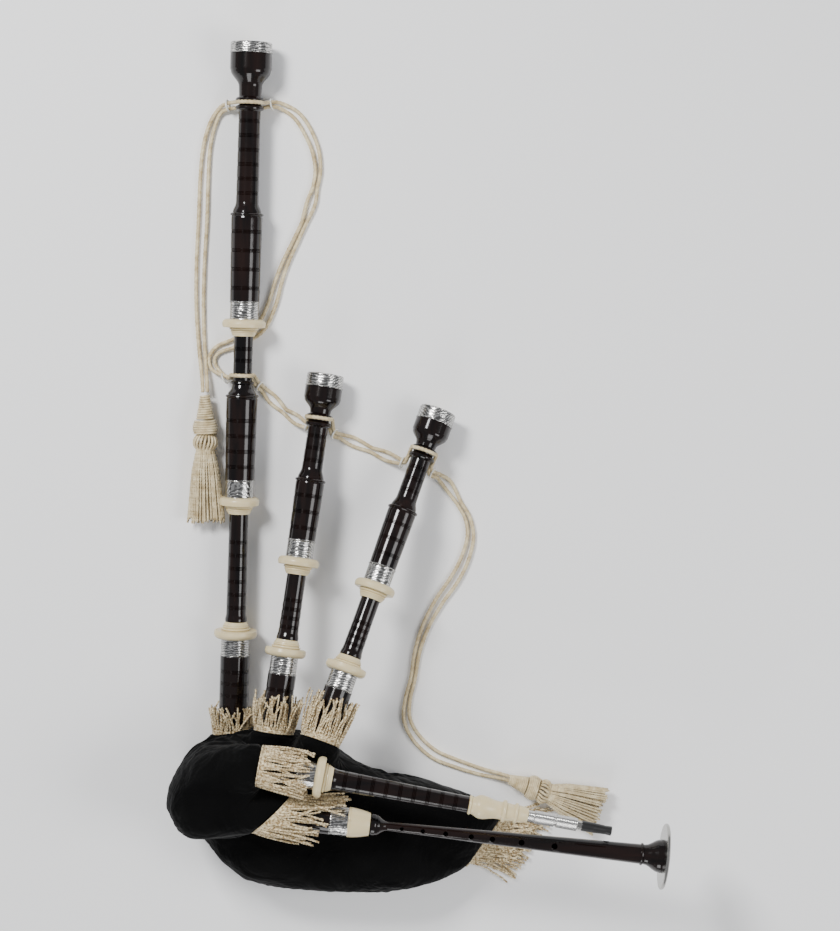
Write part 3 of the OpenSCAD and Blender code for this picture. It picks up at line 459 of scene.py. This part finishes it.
b = sweep("tail_fringe_braid", braid, Radius=0.0014, Step=0.0012, Sides=8, Material=gold_painted_light,
          **{"Turns per metre": 220.0, "Lobes": 3, "Lobe depth": 0.3})
for o in (a, b):
    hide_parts("tail_fringe")
    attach(o, "instrument")

# ---- Tassels ----
# A wound cap, a netted knot and a skirt of bullion that spreads flat on the table.
# The left one ends the cord beside the bass drone, the right one the cord by the mouthpiece.
for node, body, at, heading, length, spread in [
    ("tassel_left", "bass_top", (-241, 81, 14.6), -90, 148, 0.10),
    ("tassel_right", "instrument", (101, -357, 14.6), -20, 116, 0.24),
]:
    h = math.radians(heading)
    ahead = np.array([math.cos(h), math.sin(h), 0])
    side = np.array([-math.sin(h), math.cos(h), 0])
    start = np.array([at[0] + origin[0], at[1] + origin[1], at[2]]) / 1000

    def ring(u, r, a):
        """u mm along the tassel, r mm out, a radians round."""
        return start + ahead * u / 1000 + r / 1000 * (math.cos(a) * side + np.array([0, 0, math.sin(a)]))

    neck = length * 0.19
    knot = length * 0.30
    skirt = length * 0.41
    winding = []
    for r0, r1, u0, u1, n in [(4.5, 9.2, 1, neck, 10), (11.0, 11.5, neck + 1, knot, 6)]:
        belly = 1.8 if r0 > 10 else 0
        winding.append(np.array([
            ring(u0 + (u1 - u0) * w, (r0 + (r1 - r0) * w) + belly * math.sin(math.pi * w), 2 * math.pi * n * w)
            for w in np.linspace(0, 1, n * 24)]))
    for k in range(18):
        a = 2 * math.pi * k / 18
        winding.append(np.array([
            ring(knot + 1 + (skirt - knot) * w, 8.6 + 4.6 * math.sin(math.pi * w) ** 0.8, a + 0.3 * w)
            for w in np.linspace(0, 1, 12)]))
    strands = []
    for share, count in ((0.45, 18), (0.75, 30), (1.0, 44)):
        for k in range(count):
            a = 2 * math.pi * (k + rng.uniform(-0.35, 0.35)) / count
            long = (length - skirt) * rng.uniform(0.92, 1.0)
            fan = spread * math.cos(a) * share
            line = []
            for w in np.linspace(0, 1, 26):
                p = ring(skirt - 3 + long * w, (8.8 + 3.4 * min(1, 3 * w)) * share, a)
                p = p + side * fan * long / 1000 * w
                p[2] = max(p[2] - 0.006 * w * max(0, math.sin(a)), 0.0016)
                line.append(p)
            strands.append(np.array(line))
    a = sweep(node + "_wound", winding, Radius=0.0015, Step=0.0014, Sides=8, Material=silk,
              **{"Turns per metre": 160.0, "Lobes": 3, "Lobe depth": 0.25})
    b = sweep(node + "_skirt", strands, Radius=0.00135, Step=0.0025, Sides=6, Material=silk,
              **{"Turns per metre": 130.0, "Lobes": 2, "Lobe depth": 0.4})
    for o in (a, b):
        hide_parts(node)
        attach(o, body)

# ---- Velvet cover ----
# The cover is cut a little larger than the bag, let fall on it by a cloth simulation
# so that it creases, and finished with a fine pile.
core = bmesh.new()
body_plan = [(94, -397), (60, -376), (21, -362), (-39, -350), (-70, -338), (-100, -318), (-134, -299),
             (-180, -293), (-228, -304), (-258, -330), (-270, -362), (-262, -390), (-244, -412),
             (-226, -438), (-200, -460), (-162, -470), (-107, -475), (-47, -476), (-14, -473),
             (21, -467), (52, -454), (73, -425.5)]
front_plan = [(-166, -350), (-172, -318), (-196, -300), (-232, -304), (-262, -326), (-276, -346),
              (-280, -366), (-268, -392), (-254, -403), (-230, -403), (-202, -398), (-178, -380)]
for plan, mid, thick, falls in [(body_plan, (-110, -386), 100, True), (front_plan, (-222, -352), 156, False)]:
    rings = []
    plan = np.array(plan, float)
    plan = np.array([plan[i] * (1 - u) + plan[(i + 1) % len(plan)] * u
                     for i in range(len(plan)) for u in (0, 0.5)])
    for a in np.linspace(-76, 76, 15):
        s, c = math.sin(math.radians(a)), math.cos(math.radians(a))
        ring = []
        for p in plan:
            q = np.array(mid) + c ** 0.55 * (p - np.array(mid))
            high = thick * (1 - 0.58 * max(0, (q[0] + 30) / 124) ** 1.3 if falls else 1)
            up = 0.6 * s ** 0.8 if s >= 0 else -0.4 * (-s) ** 0.6
            ring.append(core.verts.new(((q[0] + origin[0]) / 1000, (q[1] + origin[1]) / 1000,
                                        (0.4 + up) * high / 1000)))
        rings.append(ring)
    centre = ((mid[0] + origin[0]) / 1000, (mid[1] + origin[1]) / 1000)
    low = core.verts.new((*centre, 0.0002))
    top = core.verts.new((*centre, thick * 0.995 / 1000))
    n = len(plan)
    for i in range(n):
        j = (i + 1) % n
        for k in range(len(rings) - 1):
            core.faces.new((rings[k][i], rings[k][j], rings[k + 1][j], rings[k + 1][i]))
        core.faces.new((low, rings[0][j], rings[0][i]))
        core.faces.new((top, rings[-1][i], rings[-1][j]))
# Each neck: pipe, stock radius, its edge, how far the edge runs askew, and the ball it grows from
necks = [(bass, 16.5, -105, 0, (-216, -350, 42), 32), (tenor_a, 15.6, -80, 0, (-176, -338, 64), 32),
         (tenor_b, 15.6, -74, 0, (-130, -350, 58), 34), (blow, 15.6, -57, 0, (-222, -340, 108), 38),
         (chanter, 16.4, -80, 19, (-226, -364, 100), 38)]
for pipe, r, tape, skew, deep, ball in necks:
    part = bmesh.new()
    for s in (tape - 15, tape):
        for a in range(0, 360, 15):
            part.verts.new(pipe.point(s + skew * math.cos(math.radians(a)), r + cover_out, a))
    deep = (np.array(deep) + np.array([*origin, 0])) / 1000
    for e in range(-75, 90, 15):
        for a in range(0, 360, 15):
            e1 = math.radians(e)
            a1 = math.radians(a)
            out = np.array([math.cos(e1) * math.cos(a1), math.cos(e1) * math.sin(a1), math.sin(e1)])
            part.verts.new(deep + ball / 1000 * out)
    hull = bmesh.ops.convex_hull(part, input=part.verts)
    inside = [g for g in hull["geom_interior"] if isinstance(g, bmesh.types.BMVert)]
    bmesh.ops.delete(part, geom=inside, context="VERTS")
    mesh = bpy.data.meshes.new("neck")
    part.to_mesh(mesh)
    core.from_mesh(mesh)
    part.free()
mesh = bpy.data.meshes.new("bag cover")
core.to_mesh(mesh)
core.free()
cover = bpy.data.objects.new("velvet_cover", mesh)
scene.collection.objects.link(cover)
mod = cover.modifiers.new("remesh", "REMESH")
mod.mode = "VOXEL"
mod.voxel_size = 0.0042
mod = cover.modifiers.new("smooth", "SMOOTH")
mod.iterations = 6
mod.factor = 0.6
bpy.context.view_layer.update()
cover.data = bpy.data.meshes.new_from_object(cover.evaluated_get(bpy.context.evaluated_depsgraph_get()))
cover.modifiers.clear()

inner = bpy.data.objects.new("cover core", cover.data.copy())
scene.collection.objects.link(inner)
normals = np.array([v.normal for v in inner.data.vertices])
points = np.array([v.co for v in inner.data.vertices])
inner.data.vertices.foreach_set("co", (points - 0.0008 * normals).ravel())
inner.modifiers.new("collision", "COLLISION")
inner.collision.thickness_outer = 0.0008
inner.collision.cloth_friction = 12
held = cover.vertex_groups.new(name="held")
for v in cover.data.vertices:
    p = np.array(v.co)
    weight = 0.0
    for pipe, r, tape, skew, deep, ball in necks:
        s = (p - pipe.at) @ pipe.dir * 1000
        s -= skew * np.clip((p - pipe.at) @ pipe.left * 1000 / (r + cover_out), -1, 1)
        out = np.linalg.norm(p - pipe.at - pipe.dir * s / 1000) * 1000
        if out < r + 9 and s > tape - 14:
            weight = max(weight, min(1, (s - tape + 14) / 8))
    if v.co.z < 0.004:
        weight = 1.0
    if weight > 0:
        held.add([v.index], weight, "REPLACE")
cloth = cover.modifiers.new("cloth", "CLOTH")
cloth.settings.quality = 6
cloth.settings.mass = 0.3
cloth.settings.tension_stiffness = 18
cloth.settings.compression_stiffness = 18
cloth.settings.shear_stiffness = 4
cloth.settings.bending_stiffness = 0.02
cloth.settings.shrink_min = -0.12
cloth.settings.vertex_group_mass = "held"
cloth.settings.pin_stiffness = 1.0
cloth.collision_settings.distance_min = 0.0012
cloth.collision_settings.use_self_collision = False
settled = 28
cloth.point_cache.frame_start = 1
cloth.point_cache.frame_end = settled
scene.frame_start = 1
scene.frame_end = settled
for f in range(1, settled + 1):
    scene.frame_set(f)
cover.data = bpy.data.meshes.new_from_object(cover.evaluated_get(bpy.context.evaluated_depsgraph_get()))
cover.modifiers.clear()
bpy.data.objects.remove(inner)
scene.frame_set(1)
cover.vertex_groups.clear()
mod = cover.modifiers.new("finer", "SUBSURF")
mod.levels = mod.render_levels = 1
bpy.context.view_layer.update()
cover.data = bpy.data.meshes.new_from_object(cover.evaluated_get(bpy.context.evaluated_depsgraph_get()))
cover.modifiers.clear()
cover.data.shade_smooth()
for v in cover.data.vertices:
    v.co.z = max(v.co.z, 0.0002)

velvet = bpy.data.materials.new("velvet")
velvet.use_nodes = True
t = velvet.node_tree
b = t.nodes["Principled BSDF"]
co = t.nodes.new("ShaderNodeTexCoord")
nap = t.nodes.new("ShaderNodeTexNoise")
nap.inputs["Scale"].default_value = 26
nap.inputs["Detail"].default_value = 6
ramp = t.nodes.new("ShaderNodeValToRGB")
ramp.color_ramp.elements[0].color = (0.0015, 0.0015, 0.0016, 1)
ramp.color_ramp.elements[1].color = (0.005, 0.005, 0.005, 1)
pile = t.nodes.new("ShaderNodeTexNoise")
pile.inputs["Scale"].default_value = 1400
bump = t.nodes.new("ShaderNodeBump")
bump.inputs["Strength"].default_value = 0.25
bump.inputs["Distance"].default_value = 0.0004
t.links.new(co.outputs["Object"], nap.inputs["Vector"])
t.links.new(co.outputs["Object"], pile.inputs["Vector"])
t.links.new(nap.outputs["Fac"], ramp.inputs["Fac"])
t.links.new(ramp.outputs["Color"], b.inputs["Base Color"])
t.links.new(pile.outputs["Fac"], bump.inputs["Height"])
crease = t.nodes.new("ShaderNodeTexNoise")
crease.inputs["Scale"].default_value = 17
crease.inputs["Detail"].default_value = 3
crease.inputs["Distortion"].default_value = 1.2
crush = t.nodes.new("ShaderNodeBump")
crush.inputs["Strength"].default_value = 0.8
crush.inputs["Distance"].default_value = 0.012
t.links.new(co.outputs["Object"], crease.inputs["Vector"])
t.links.new(crease.outputs["Fac"], crush.inputs["Height"])
t.links.new(crush.outputs["Normal"], bump.inputs["Normal"])
t.links.new(bump.outputs["Normal"], b.inputs["Normal"])
b.inputs["Roughness"].default_value = 0.95
b.inputs["Specular IOR Level"].default_value = 0.04
b.inputs["Sheen Weight"].default_value = 0.07
b.inputs["Sheen Roughness"].default_value = 0.35
cover.data.materials.clear()
cover.data.materials.append(velvet)
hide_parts("bag_cover")
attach(cover, "instrument")

# ---- Turned wood ----
# Near-black polished hardwood with a little red-brown figure along each pipe.
# The joints, stocks and chanter keep their turned shape from the frame.
for name, along, members in [
    ("wood_drones", (60, 7, 60), ["bass_stock", "tenor_a_stock", "tenor_b_stock", "bass_bottom_joint",
                                  "tenor_a_bottom_joint", "tenor_b_bottom_joint", "bass_middle_joint",
                                  "bass_top_joint", "tenor_a_top_joint", "tenor_b_top_joint"]),
    ("wood_pipes", (7, 60, 60), ["blowpipe_stock", "chanter_stock", "blowpipe_stick", "chanter"]),
]:
    wood = bpy.data.materials.new(name)
    wood.use_nodes = True
    t = wood.node_tree
    b = t.nodes["Principled BSDF"]
    co = t.nodes.new("ShaderNodeTexCoord")
    stretch = t.nodes.new("ShaderNodeMapping")
    stretch.inputs["Scale"].default_value = along
    grain = t.nodes.new("ShaderNodeTexNoise")
    grain.inputs["Scale"].default_value = 1.6
    grain.inputs["Detail"].default_value = 8
    grain.inputs["Distortion"].default_value = 0.6
    ramp = t.nodes.new("ShaderNodeValToRGB")
    ramp.color_ramp.elements[0].position = 0.35
    ramp.color_ramp.elements[0].color = (0.0025, 0.0018, 0.0018, 1)
    ramp.color_ramp.elements[1].position = 0.75
    ramp.color_ramp.elements[1].color = (0.014, 0.006, 0.0045, 1)
    t.links.new(co.outputs["Object"], stretch.inputs["Vector"])
    t.links.new(stretch.outputs["Vector"], grain.inputs["Vector"])
    t.links.new(grain.outputs["Fac"], ramp.inputs["Fac"])
    t.links.new(ramp.outputs["Color"], b.inputs["Base Color"])
    b.inputs["Roughness"].default_value = 0.13
    b.inputs["Specular IOR Level"].default_value = 0.3
    b.inputs["Coat Weight"].default_value = 0.15
    b.inputs["Coat Roughness"].default_value = 0.06
    for n in members:
        nodes[n].data.materials.clear()
        nodes[n].data.materials.append(wood)

# ---- Imitation ivory ----
# Cream mounts, bell bushes, the chanter stock's cup and the blowpipe's bulb.
# Faintly clouded, with a polished, slightly soft surface.
ivory = bpy.data.materials.new("ivory")
ivory.use_nodes = True
t = ivory.node_tree
b = t.nodes["Principled BSDF"]
co = t.nodes.new("ShaderNodeTexCoord")
lines = t.nodes.new("ShaderNodeTexNoise")
lines.inputs["Scale"].default_value = 45
lines.inputs["Detail"].default_value = 4
lines.inputs["Distortion"].default_value = 0.8
ramp = t.nodes.new("ShaderNodeValToRGB")
ramp.color_ramp.elements[0].color = (0.68, 0.56, 0.31, 1)
ramp.color_ramp.elements[1].color = (0.77, 0.66, 0.41, 1)
t.links.new(co.outputs["Object"], lines.inputs["Vector"])
t.links.new(lines.outputs["Fac"], ramp.inputs["Fac"])
t.links.new(ramp.outputs["Color"], b.inputs["Base Color"])
b.inputs["Roughness"].default_value = 0.28
b.inputs["Subsurface Weight"].default_value = 0.12
b.inputs["Subsurface Radius"].default_value = (0.003, 0.002, 0.001)
for n in nodes:
    if n.endswith("_mount") or n.endswith("_bush") or n in ("chanter_stock_cup", "blowpipe_bulb"):
        nodes[n].data.materials.clear()
        nodes[n].data.materials.append(ivory)

# ---- Engraved and plain metal ----
# Ferrules and ring caps carry a running leaf-like relief; the sole is plain and the
# two collars by the mouthpiece are knurled.
for name, members, kind in [
    ("engraved", ["stock_ferrules", "bass_middle_ferrule", "bass_top_ferrule", "bass_ring_cap",
                  "tenor_a_top_ferrule", "tenor_a_ring_cap", "tenor_b_top_ferrule", "tenor_b_ring_cap"], "relief"),
    ("plain_metal", ["chanter_sole", "mouthpiece_tube"], "plain"),
    ("knurled", ["adjusting_sleeve", "lock_collar"], "knurl"),
]:
    metal = bpy.data.materials.new(name)
    metal.use_nodes = True
    t = metal.node_tree
    b = t.nodes["Principled BSDF"]
    shade = (0.42, 0.41, 0.39, 1) if kind == "plain" else (0.58, 0.57, 0.55, 1)
    b.inputs["Base Color"].default_value = shade
    b.inputs["Metallic"].default_value = 1.0
    b.inputs["Roughness"].default_value = 0.24
    co = t.nodes.new("ShaderNodeTexCoord")
    bump = t.nodes.new("ShaderNodeBump")
    if kind == "relief":
        leaf = t.nodes.new("ShaderNodeTexVoronoi")
        leaf.feature = "SMOOTH_F1"
        leaf.inputs["Scale"].default_value = 310
        scroll = t.nodes.new("ShaderNodeTexWave")
        scroll.wave_type = "RINGS"
        scroll.inputs["Scale"].default_value = 120
        scroll.inputs["Distortion"].default_value = 9
        scroll.inputs["Detail"].default_value = 2
        both = t.nodes.new("ShaderNodeMath")
        both.operation = "MULTIPLY"
        t.links.new(co.outputs["Object"], leaf.inputs["Vector"])
        t.links.new(co.outputs["Object"], scroll.inputs["Vector"])
        t.links.new(leaf.outputs["Distance"], both.inputs[0])
        t.links.new(scroll.outputs["Fac"], both.inputs[1])
        t.links.new(both.outputs[0], bump.inputs["Height"])
        dark = t.nodes.new("ShaderNodeValToRGB")
        dark.color_ramp.elements[0].color = (0.16, 0.16, 0.155, 1)
        dark.color_ramp.elements[1].position = 0.4
        dark.color_ramp.elements[1].color = (0.62, 0.61, 0.59, 1)
        t.links.new(both.outputs[0], dark.inputs["Fac"])
        t.links.new(dark.outputs["Color"], b.inputs["Base Color"])
        bump.inputs["Strength"].default_value = 0.8
        bump.inputs["Distance"].default_value = 0.0004
    elif kind == "knurl":
        turned = t.nodes.new("ShaderNodeMapping")
        turned.inputs["Rotation"].default_value = (0, 0, math.radians(10.7))
        cuts = t.nodes.new("ShaderNodeTexWave")
        cuts.bands_direction = "DIAGONAL"
        cuts.inputs["Scale"].default_value = 330
        t.links.new(co.outputs["Object"], turned.inputs["Vector"])
        t.links.new(turned.outputs["Vector"], cuts.inputs["Vector"])
        t.links.new(cuts.outputs["Fac"], bump.inputs["Height"])
        bump.inputs["Strength"].default_value = 0.7
        bump.inputs["Distance"].default_value = 0.0004
    else:
        fine = t.nodes.new("ShaderNodeTexNoise")
        fine.inputs["Scale"].default_value = 300
        t.links.new(co.outputs["Object"], fine.inputs["Vector"])
        t.links.new(fine.outputs["Fac"], bump.inputs["Height"])
        bump.inputs["Strength"].default_value = 0.05
        bump.inputs["Distance"].default_value = 0.0002
    t.links.new(bump.outputs["Normal"], b.inputs["Normal"])
    for n in members:
        nodes[n].data.materials.clear()
        nodes[n].data.materials.append(metal)

# ---- Rubber, cane, hemp and hide ----
# The mouthpiece tip shows; the valve, reeds, hemp windings and bag are hidden pieces
# that show only when a joint is drawn apart.
for name, members, low, high, rough, scale in [
    ("rubber", ["mouthpiece_tip", "valve_body", "valve_flap"],
     (0.008, 0.008, 0.008, 1), (0.02, 0.02, 0.02, 1), 0.35, 60),
    ("cane", ["drone_reeds", "chanter_reed"], (0.55, 0.40, 0.16, 1), (0.75, 0.6, 0.3, 1), 0.5, 120),
    ("hemp", ["tenon_hemp", "bass_middle_hemp", "stock_bindings"],
     (0.42, 0.33, 0.15, 1), (0.7, 0.6, 0.36, 1), 0.7, 700),
    ("hide", ["bag"], (0.3, 0.19, 0.1, 1), (0.45, 0.31, 0.18, 1), 0.75, 40),
]:
    m = bpy.data.materials.new(name)
    m.use_nodes = True
    t = m.node_tree
    b = t.nodes["Principled BSDF"]
    co = t.nodes.new("ShaderNodeTexCoord")
    noise = t.nodes.new("ShaderNodeTexNoise")
    noise.inputs["Scale"].default_value = scale
    noise.inputs["Detail"].default_value = 5
    ramp = t.nodes.new("ShaderNodeValToRGB")
    ramp.color_ramp.elements[0].color = low
    ramp.color_ramp.elements[1].color = high
    t.links.new(co.outputs["Object"], noise.inputs["Vector"])
    t.links.new(noise.outputs["Fac"], ramp.inputs["Fac"])
    t.links.new(ramp.outputs["Color"], b.inputs["Base Color"])
    b.inputs["Roughness"].default_value = rough
    for n in members:
        nodes[n].data.materials.clear()
        nodes[n].data.materials.append(m)
